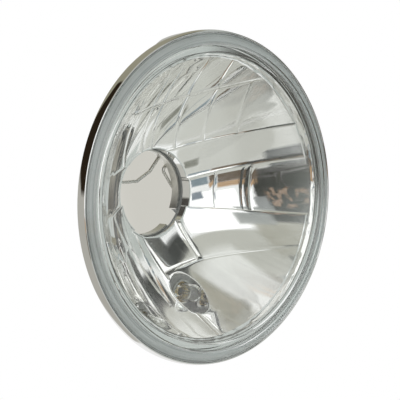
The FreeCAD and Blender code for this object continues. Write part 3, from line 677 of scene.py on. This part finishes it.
class Paint:
    """A node material with a few helpers for procedural detail in object space, in metres."""

    def __init__(self, name):
        self.material = bpy.data.materials.new(name)
        self.material.use_nodes = True
        self.tree = self.material.node_tree
        self.shader = self.tree.nodes["Principled BSDF"]
        self.place = self.node("ShaderNodeTexCoord").outputs["Object"]

    def node(self, kind, **settings):
        made = self.tree.nodes.new(kind)
        for key, value in settings.items():
            setattr(made, key, value)
        return made

    def link(self, source, target):
        self.tree.links.new(source, target)

    def set(self, **values):
        for key, value in values.items():
            self.shader.inputs[key.replace("_", " ")].default_value = value

    def scaled(self, vector, scale):
        mapping = self.node("ShaderNodeMapping")
        mapping.inputs["Scale"].default_value = scale
        self.link(vector, mapping.inputs["Vector"])
        return mapping.outputs["Vector"]

    def ringed(self, across, along):
        """Coordinates that are even round the lamp's axis: distance from it, and depth."""
        parts = self.node("ShaderNodeSeparateXYZ")
        self.link(self.place, parts.inputs[0])
        flat = self.node("ShaderNodeCombineXYZ")
        self.link(parts.outputs["X"], flat.inputs["X"])
        self.link(parts.outputs["Z"], flat.inputs["Y"])
        length = self.node("ShaderNodeVectorMath", operation="LENGTH")
        self.link(flat.outputs[0], length.inputs[0])
        both = self.node("ShaderNodeCombineXYZ")
        self.link(length.outputs["Value"], both.inputs["X"])
        self.link(parts.outputs["Y"], both.inputs["Y"])
        return self.scaled(both.outputs[0], (across, along, 1))

    def noise(self, scale, detail=3.0, vector=None):
        made = self.node("ShaderNodeTexNoise")
        made.inputs["Scale"].default_value = scale
        made.inputs["Detail"].default_value = detail
        self.link(self.place if vector is None else vector, made.inputs["Vector"])
        return made.outputs["Fac"]

    def cells(self, scale):
        made = self.node("ShaderNodeTexVoronoi")
        made.inputs["Scale"].default_value = scale
        self.link(self.place, made.inputs["Vector"])
        return made.outputs["Color"]

    def spread(self, factor, limits, low=0.0, high=1.0):
        """A factor that runs from low to high between two limits."""
        made = self.node("ShaderNodeMapRange")
        values = {"From Min": limits[0], "From Max": limits[1], "To Min": low, "To Max": high}
        for key, value in values.items():
            made.inputs[key].default_value = value
        self.link(factor, made.inputs["Value"])
        return made.outputs["Result"]

    def colour(self, factor, stops):
        ramp = self.node("ShaderNodeValToRGB")
        elements = ramp.color_ramp.elements
        while len(elements) < len(stops):
            elements.new(0.5)
        for element, (position, rgb) in zip(elements, stops):
            element.position = position
            element.color = (*rgb, 1)
        self.link(factor, ramp.inputs["Fac"])
        self.link(ramp.outputs["Color"], self.shader.inputs["Base Color"])

    def mottle(self, factor, dark, light, limits=NOISE_RANGE):
        self.colour(factor, [(limits[0], dark), (limits[1], light)])

    def rough(self, factor, low, high):
        self.link(self.spread(factor, NOISE_RANGE, low, high), self.shader.inputs["Roughness"])

    def bump(self, height, strength, depth, under=None):
        made = self.node("ShaderNodeBump")
        made.inputs["Strength"].default_value = strength
        made.inputs["Distance"].default_value = depth
        self.link(height, made.inputs["Height"])
        if under is not None:
            self.link(under, made.inputs["Normal"])
        self.link(made.outputs["Normal"], self.shader.inputs["Normal"])
        return made.outputs["Normal"]

    def cover(self):
        """The share of a stage mesh's material at each point."""
        return self.node("ShaderNodeAttribute", attribute_name="cover").outputs["Fac"]

    def fade(self, shown, factor):
        """Lead a shader to the surface, mixed with a clear one by a factor."""
        clear = self.node("ShaderNodeBsdfTransparent")
        mix = self.node("ShaderNodeMixShader")
        self.link(factor, mix.inputs[0])
        self.link(clear.outputs[0], mix.inputs[1])
        self.link(shown.outputs[0], mix.inputs[2])
        self.link(mix.outputs[0], self.tree.nodes["Material Output"].inputs["Surface"])


def shade(rgb, factor):
    """A colour made darker or lighter."""
    return tuple(min(channel * factor, 1.0) for channel in rgb)


def put(obj, paint):
    """Give an object one material in place of those that it has."""
    obj.data.materials.clear()
    obj.data.materials.append(paint.material)


def paint_metal(name, rgb, low, high, grain, uneven=0.08, strength=0.15):
    """Metal with a slightly uneven colour, roughness and surface."""
    paint = Paint(name)
    paint.set(Metallic=1.0)
    paint.mottle(paint.noise(grain / 4), shade(rgb, 1 - uneven), shade(rgb, 1 + uneven))
    paint.rough(paint.noise(grain), low, high)
    paint.bump(paint.noise(grain * 2), strength, METAL_BUMP)
    return paint


def paint_zinc(name, rgb):
    """Zinc plated steel with its crystal pattern."""
    paint = Paint(name)
    paint.set(Metallic=1.0)
    paint.mottle(paint.cells(scale=700.0), shade(rgb, 0.9), shade(rgb, 1.08), WIDE_RANGE)
    paint.rough(paint.noise(scale=300.0), low=0.32, high=0.52)
    paint.bump(paint.noise(scale=1200.0), strength=0.12, depth=METAL_BUMP)
    return paint


def paint_plastic(name, rgb, low, high, grain, strength):
    """Moulded plastic, fibre or rubber with a mottled, slightly rough skin."""
    paint = Paint(name)
    stops = [(0.3, shade(rgb, 0.8)), (0.5, rgb), (0.72, shade(rgb, 1.22))]
    paint.colour(paint.noise(grain, detail=5.0), stops)
    paint.rough(paint.noise(grain / 3), low, high)
    paint.bump(paint.noise(grain * 1.6, detail=4.0), strength, SKIN_BUMP)
    return paint


def paint_glass(name, tint, scale, strength):
    """Pressed glass with faint flow waves."""
    paint = Paint(name)
    paint.set(Transmission_Weight=1.0, IOR=1.5, Roughness=0.0)
    paint.mottle(paint.noise(scale), shade(tint, 0.985), tint, WIDE_RANGE)
    paint.bump(paint.noise(scale, detail=1.0), strength, FLOW_BUMP)
    return paint


def paint_mirror():
    """Vacuum aluminium over moulded plastic: very smooth, with slow waves and faint haze."""
    paint = Paint("aluminised_coat")
    paint.set(Metallic=1.0)
    paint.mottle(paint.noise(scale=40.0), dark=(0.92, 0.917, 0.905), light=(0.95, 0.95, 0.94))
    paint.rough(paint.noise(scale=90.0), low=0.015, high=0.05)
    waves = paint.bump(paint.noise(scale=110.0, detail=1.0), strength=0.018, depth=FLOW_BUMP)
    haze = paint.noise(scale=900.0, detail=2.0)
    paint.bump(haze, strength=0.012, depth=POLISH_BUMP, under=waves)
    return paint


def paint_chrome():
    """Bright chrome with the fine rings of polishing and a few hazy patches."""
    paint = Paint("polished_chrome")
    paint.set(Metallic=1.0)
    paint.mottle(paint.noise(scale=30.0), dark=(0.74, 0.735, 0.72), light=(0.82, 0.82, 0.81))
    paint.rough(paint.noise(scale=60.0), low=0.03, high=0.1)
    rings = paint.noise(scale=1.0, detail=2.0, vector=paint.ringed(across=2500.0, along=2500.0))
    paint.bump(rings, strength=0.04, depth=POLISH_BUMP)
    return paint


def paint_seal():
    """Sealant with the fine rings of the groove that it was laid in, in pale to white colours that
    are partly painted reflection of the white studio, which the clear sealant would show.
    """
    paint = Paint("sealant")
    rings = paint.noise(scale=1.0, detail=3.0, vector=paint.ringed(across=1100.0, along=30.0))
    # Grey-teal to pure white rings: the pale sealant's own colour, brightened by a painted
    # reflection of the white studio
    paint.colour(rings, [(0.36, (0.5, 0.55, 0.55)), (0.44, (0.84, 0.89, 0.88)),
                         (0.55, (0.88, 0.93, 0.93)), (0.62, (1.0, 1.0, 1.0))])
    paint.rough(paint.noise(scale=200.0), low=0.45, high=0.65)
    paint.bump(rings, strength=0.3, depth=RING_BUMP)
    return paint


# Metals: colour, least and most roughness, grain, then unevenness and bump where not the usual
METALS = {
    "earth_terminal": ("tinned_steel", (0.72, 0.71, 0.69), 0.2, 0.4, 800.0),
    "bulb_clip": ("drawn_wire", (0.68, 0.66, 0.62), 0.18, 0.36, 900.0),
    "bulb_cap": ("rolled_brass", (0.78, 0.6, 0.3), 0.16, 0.34, 700.0),
    "cap_contact": ("solder", (0.6, 0.6, 0.61), 0.3, 0.5, 900.0, 0.1, 0.3),
    "bulb_leads": ("nickel_wire", (0.66, 0.64, 0.6), 0.2, 0.4, 2000.0),
    "filament_coil": ("tungsten_coil", (0.36, 0.36, 0.37), 0.35, 0.55, 3000.0),
    "contact_spring": ("spring_brass", (0.76, 0.6, 0.32), 0.2, 0.4, 900.0),
    "live_terminal": ("stamped_brass", (0.8, 0.64, 0.35), 0.18, 0.36, 600.0),
}
# Zinc plate: colour
ZINCS = {
    "bulb_seat": ("zinc_plate", (0.74, 0.72, 0.67)),
    "seat_rivets": ("zinc_rivets", (0.7, 0.69, 0.66)),
    "socket_shell": ("zinc_socket", (0.72, 0.71, 0.68)),
}
# Plastics: colour, least and most roughness, grain, strength of bump
PLASTICS = {
    "reflector": ("thermoset_moulding", (0.29, 0.295, 0.285), 0.4, 0.6, 500.0, 0.3),
    "pilot_grommet": ("grommet_rubber", (0.52, 0.52, 0.5), 0.6, 0.8, 900.0, 0.4),
    "cap_insulator": ("black_glass", (0.02, 0.02, 0.022), 0.08, 0.2, 700.0, 0.1),
    "socket_insulator": ("pressed_fibre", (0.36, 0.19, 0.1), 0.55, 0.75, 800.0, 0.35),
}
# Glasses: tint, scale of the flow waves, strength of bump
GLASSES = {
    "lens_glass": ("lens_glass", (0.985, 0.995, 0.99), 60.0, 0.03),
    "bulb_glass": ("bulb_clear_glass", (0.98, 0.99, 0.985), 300.0, 0.04),
    "bulb_stem": ("stem_pressed_glass", (0.95, 0.97, 0.96), 600.0, 0.25),
}

put(mirror_skin, paint_mirror())
put(rim_piece, paint_chrome())
put(nodes["lens_seal"], paint_seal())
pieces = {**nodes, "lens_glass": lens_glass, "filament_coil": filament}
for make_paint, finishes in ((paint_metal, METALS), (paint_zinc, ZINCS),
                             (paint_plastic, PLASTICS), (paint_glass, GLASSES)):
    for piece, finish in finishes.items():
        put(pieces[piece], make_paint(*finish))

# The solid's own inside lies just behind the coating
COATING_GAP = 0.06 * MM
shrink = nodes["reflector"].modifiers.new("behind_coating", "DISPLACE")
shrink.strength = -COATING_GAP
shrink.mid_level = 0.0

# Camera, fitted to the rim and the opening in the photograph, where the lamp lies rolled
CAMERA_AZIMUTH = -43.32
CAMERA_ELEVATION = 4.43
CAMERA_ROLL = 15.0
CAMERA_DISTANCE = 574 * MM
CAMERA_AIM = (0, -4 * MM, 0)
CAMERA_FOCAL_PX = 1321.4
CAMERA_SHIFT_PX = (-17.16, -1.58)
IMAGE_PX = 400
CLIP_START = 0.01


def direction(azimuth, elevation):
    """The way from the lamp to a place round it, in degrees from its front."""
    a, e = math.radians(azimuth), math.radians(elevation)
    return Vector((math.sin(a) * math.cos(e), -math.cos(a) * math.cos(e), math.sin(e)))


def make_camera():
    azimuth = math.radians(CAMERA_AZIMUTH)
    back = direction(CAMERA_AZIMUTH, CAMERA_ELEVATION)
    right = Vector((math.cos(azimuth), math.sin(azimuth), 0.0))
    up = back.cross(right)
    turn = Matrix.Rotation(math.radians(CAMERA_ROLL), 3, "Y")
    back, right, up = turn @ back, turn @ right, turn @ up
    data = bpy.data.cameras.new("camera")
    camera = new_object("camera", data)
    axes = Matrix((right, up, back)).transposed().to_4x4()
    place = Vector(CAMERA_AIM) + back * CAMERA_DISTANCE
    camera.matrix_world = Matrix.Translation(place) @ axes
    data.sensor_fit = "HORIZONTAL"
    data.angle = 2 * math.atan(IMAGE_PX / 2 / CAMERA_FOCAL_PX)
    data.shift_x = CAMERA_SHIFT_PX[0] / IMAGE_PX
    data.shift_y = CAMERA_SHIFT_PX[1] / IMAGE_PX
    data.clip_start = CLIP_START
    scene.camera = camera


# White studio, which is dimmer for diffuse light than where it is seen
WORLD_LIGHT = 0.75
WORLD_SEEN = 1.0


def larger(tree, first, second):
    both = tree.nodes.new("ShaderNodeMath")
    both.operation = "MAXIMUM"
    tree.links.new(first, both.inputs[0])
    tree.links.new(second, both.inputs[1])
    return both.outputs[0]


def seen_share(tree):
    """One for camera, glossy and transmission rays, and zero for the rest."""
    rays = tree.nodes.new("ShaderNodeLightPath").outputs
    first = larger(tree, rays["Is Camera Ray"], rays["Is Glossy Ray"])
    return larger(tree, first, rays["Is Transmission Ray"])


def make_world():
    world = bpy.data.worlds.new("studio")
    scene.world = world
    world.use_nodes = True
    tree = world.node_tree
    soft = tree.nodes["Background"]
    white = tree.nodes.new("ShaderNodeBackground")
    for background, strength in ((soft, WORLD_LIGHT), (white, WORLD_SEEN)):
        background.inputs["Color"].default_value = (1, 1, 1, 1)
        background.inputs["Strength"].default_value = strength
    mix = tree.nodes.new("ShaderNodeMixShader")
    tree.links.new(seen_share(tree), mix.inputs[0])
    tree.links.new(soft.outputs[0], mix.inputs[1])
    tree.links.new(white.outputs[0], mix.inputs[2])
    tree.links.new(mix.outputs[0], tree.nodes["World Output"].inputs["Surface"])


def soft_share(gap, width):
    """A share that rises softly from 0 to 1 over a width."""
    share = min(max(gap / width, 0.0), 1.0)
    return share * share * (3 - 2 * share)


def stage_mesh(name, verts, faces, cover):
    """A mesh of the stage in metres, with the share of its material that each point has."""
    mesh = bpy.data.meshes.new(name)
    mesh.from_pydata(verts, [], faces)
    mesh.attributes.new("cover", "FLOAT", "POINT").data.foreach_set("value", cover)
    return new_object(name, mesh)


# Studio cards that stand for the light and dark areas of the room in the mirror's reflections
CARD_CELL_DEG = 2
CARD_LEAST_CELLS = 4
PATCH_STRETCH = (3, 3, 1)
PATCH_SCALE = 7.0
PATCH_DETAIL = 2.0
PATCH_RANGE = (0.48, 0.62)
# Name, azimuths and elevations in degrees, colour, metres away, soft edge in degrees, patches
CARDS = [
    ("low_card", (-125, 130), (-88, -45), (0.64, 0.64, 0.6), 1.5, 4.0),
    ("low_left", (-125, 8), (-49, -14), (0.64, 0.64, 0.6), 1.49, 4.0),
    ("top_card", (-90, 100), (35, 86), (0.53, 0.525, 0.475), 1.5, 2.0),
    ("top_glow", (-16, 52), (43, 78), (0.88, 0.88, 0.85), 1.45, 9.0),
    ("side_card", (46, 92), (40, 66), (0.38, 0.365, 0.29), 1.44, 9.0),
    ("front_card", (9, 135), (-33, 26), (0.53, 0.565, 0.545), 1.45, 4.0),
    ("gap_card", (55, 105), (22, 42), (0.4, 0.42, 0.4), 1.46, 4.0),
    ("rim_card", (-165, -88), (-78, 24), (0.5, 0.49, 0.45), 1.45, 5.0),
    ("back_card", (95, 165), (4, 48), (0.52, 0.52, 0.48), 1.45, 5.0),
    ("rim_flag", (-172, -88), (15, 88), (0.025, 0.017, 0.01), 1.3, 4.0),
    ("olive_flag", (116, 200), (18, 88), (0.34, 0.325, 0.245), 1.4, 5.0),
    ("left_flag", (-74, -40), (-17.5, 31), (0.02, 0.018, 0.014), 1.2, 2.0),
    ("wedge_flag", (-67, -50), (-25, -13), (0.08, 0.09, 0.09), 1.21, 2.0),
    ("warm_patches", (-70, -45), (3, 24), (0.33, 0.22, 0.15), 1.18, 2.0, True),
    ("grey_corner", (-47, -29), (21, 33), (0.36, 0.37, 0.36), 1.19, 2.5),
    ("grey_side", (-47, -37.5), (11, 25), (0.3, 0.31, 0.31), 1.185, 2.5),
    ("brown_flag", (-46, -26), (-18.5, -6.5), (0.1, 0.06, 0.028), 1.18, 2.0),
    ("tan_card", (-45, -25), (-9, -0.5), (0.5, 0.31, 0.16), 1.2, 1.5),
    ("blue_card", (-27, -7), (-18, -5.5), (0.19, 0.25, 0.29), 1.19, 1.5),
    # blue_mark is a painted reflection of the bulb seat's clip in the mirror, not of an area of the
    # room
    ("blue_mark", (-19, -4), (-0.5, 10.5), (0.2, 0.24, 0.29), 1.19, 2.0),
    ("low_flag", (-19, -3), (-33.5, -24.5), (0.2, 0.2, 0.165), 1.19, 2.5),
    ("right_flag", (19, 62), (28.5, 43.5), (0.02, 0.02, 0.017), 1.3, 3.0),
    ("right_end", (42, 66), (20, 34), (0.03, 0.03, 0.025), 1.31, 3.0),
    ("front_flag", (43, 114), (-20, 30), (0.06, 0.058, 0.05), 1.3, 5.0),
    ("corner_card", (-64, -34), (26, 54), (0.4, 0.385, 0.32), 1.35, 5.0),
    ("spot_flag", (-50, -38), (50, 61), (0.04, 0.04, 0.034), 1.34, 2.5),
    ("cream_card", (129, 148), (-24, -5), (0.62, 0.6, 0.55), 1.3, 3.0),
]


def card_cells(limits):
    return max(int((limits[1] - limits[0]) / CARD_CELL_DEG), CARD_LEAST_CELLS)


def patch_factor(paint, factor):
    """A factor broken up into narrow patches."""
    narrow = paint.scaled(paint.place, PATCH_STRETCH)
    spots = paint.noise(PATCH_SCALE, PATCH_DETAIL, narrow)
    both = paint.node("ShaderNodeMath", operation="MULTIPLY")
    paint.link(paint.spread(spots, PATCH_RANGE), both.inputs[0])
    paint.link(factor, both.inputs[1])
    return both.outputs[0]


def make_card(name, azimuths, elevations, rgb, distance, soft_edge, patches=False):
    """A card on a sphere round the lamp, seen in reflections and through glass only."""
    columns = card_cells(azimuths)
    rows = card_cells(elevations)
    verts = []
    cover = []
    for row in range(rows + 1):
        elevation = elevations[0] + (elevations[1] - elevations[0]) * row / rows
        for column in range(columns + 1):
            azimuth = azimuths[0] + (azimuths[1] - azimuths[0]) * column / columns
            verts.append(direction(azimuth, elevation) * distance)
            gap = min(azimuth - azimuths[0], azimuths[1] - azimuth,
                      elevation - elevations[0], elevations[1] - elevation)
            cover.append(soft_share(gap, soft_edge))
    faces = []
    for row in range(rows):
        for column in range(columns):
            first = row * (columns + 1) + column
            faces.append((first, first + 1, first + columns + 2, first + columns + 1))
    card = stage_mesh(name, verts, faces, cover)
    paint = Paint(name)
    paint.tree.nodes.remove(paint.shader)
    glow = paint.node("ShaderNodeEmission")
    glow.inputs["Color"].default_value = (*rgb, 1)
    factor = paint.cover()
    paint.fade(glow, patch_factor(paint, factor) if patches else factor)
    put(card, paint)
    card.visible_camera = False
    card.visible_diffuse = False
    card.visible_shadow = False


# Panel lamps: name, width and height in metres, watts, azimuth, elevation, distance in metres
SOFTBOX = ("softbox", 1.1, 0.8, 1.1, -15, 19, 1.3)
OVERHEAD = ("overhead", 1.0, 1.0, 5.0, -60, 62, 1.4)


def make_lamp(name, width, height, energy, azimuth, elevation, distance):
    """A soft panel lamp that faces the part."""
    data = bpy.data.lights.new(name, "AREA")
    data.shape = "RECTANGLE"
    data.size = width
    data.size_y = height
    data.energy = energy
    lamp = new_object(name, data)
    toward = direction(azimuth, elevation)
    lamp.location = toward * distance
    lamp.rotation_euler = toward.to_track_quat("Z", "Y").to_euler()
    lamp.visible_camera = False
    return lamp


# Floor in metres, with the outer share of its radius over which it fades
FLOOR_Z = -0.3
FLOOR_R = 0.34
FLOOR_FADE = 0.6
FLOOR_RINGS = 24
FLOOR_STEPS = 96
FLOOR_RGB = (0.93, 0.93, 0.93)


def make_floor():
    """A pale floor under the part that fades into the white studio and keeps the part's shadow."""
    verts = [(0.0, 0.0, FLOOR_Z)]
    cover = [1.0]
    faces = []
    for ring in range(1, FLOOR_RINGS + 1):
        radius = FLOOR_R * ring / FLOOR_RINGS
        for x, y in circle_points(0.0, 0.0, radius, FLOOR_STEPS):
            verts.append((x, y, FLOOR_Z))
            cover.append(soft_share(FLOOR_R - radius, FLOOR_R * FLOOR_FADE))
        outer = 1 + (ring - 1) * FLOOR_STEPS
        inner = outer - FLOOR_STEPS
        for step in range(FLOOR_STEPS):
            after = (step + 1) % FLOOR_STEPS
            if ring == 1:
                faces.append((0, outer + step, outer + after))
            else:
                faces.append((inner + step, outer + step, outer + after, inner + after))
    floor = stage_mesh("floor", verts, faces, cover)
    paint = Paint("floor")
    paint.set(Base_Color=(*FLOOR_RGB, 1), Roughness=0.9, Specular_IOR_Level=0.1)
    paint.fade(paint.shader, paint.cover())
    put(floor, paint)
    floor.visible_glossy = False
    floor.visible_transmission = False


make_camera()
make_world()
make_lamp(*SOFTBOX)
overhead = make_lamp(*OVERHEAD)
overhead.visible_glossy = False
overhead.visible_transmission = False
make_floor()
for card_values in CARDS:
    make_card(*card_values)
scene.view_settings.view_transform = "Standard"

# The bowl reflects itself many times, and each of those rays passes the glass twice
scene.cycles.max_bounces = 32
scene.cycles.glossy_bounces = 16
scene.cycles.transmission_bounces = 16
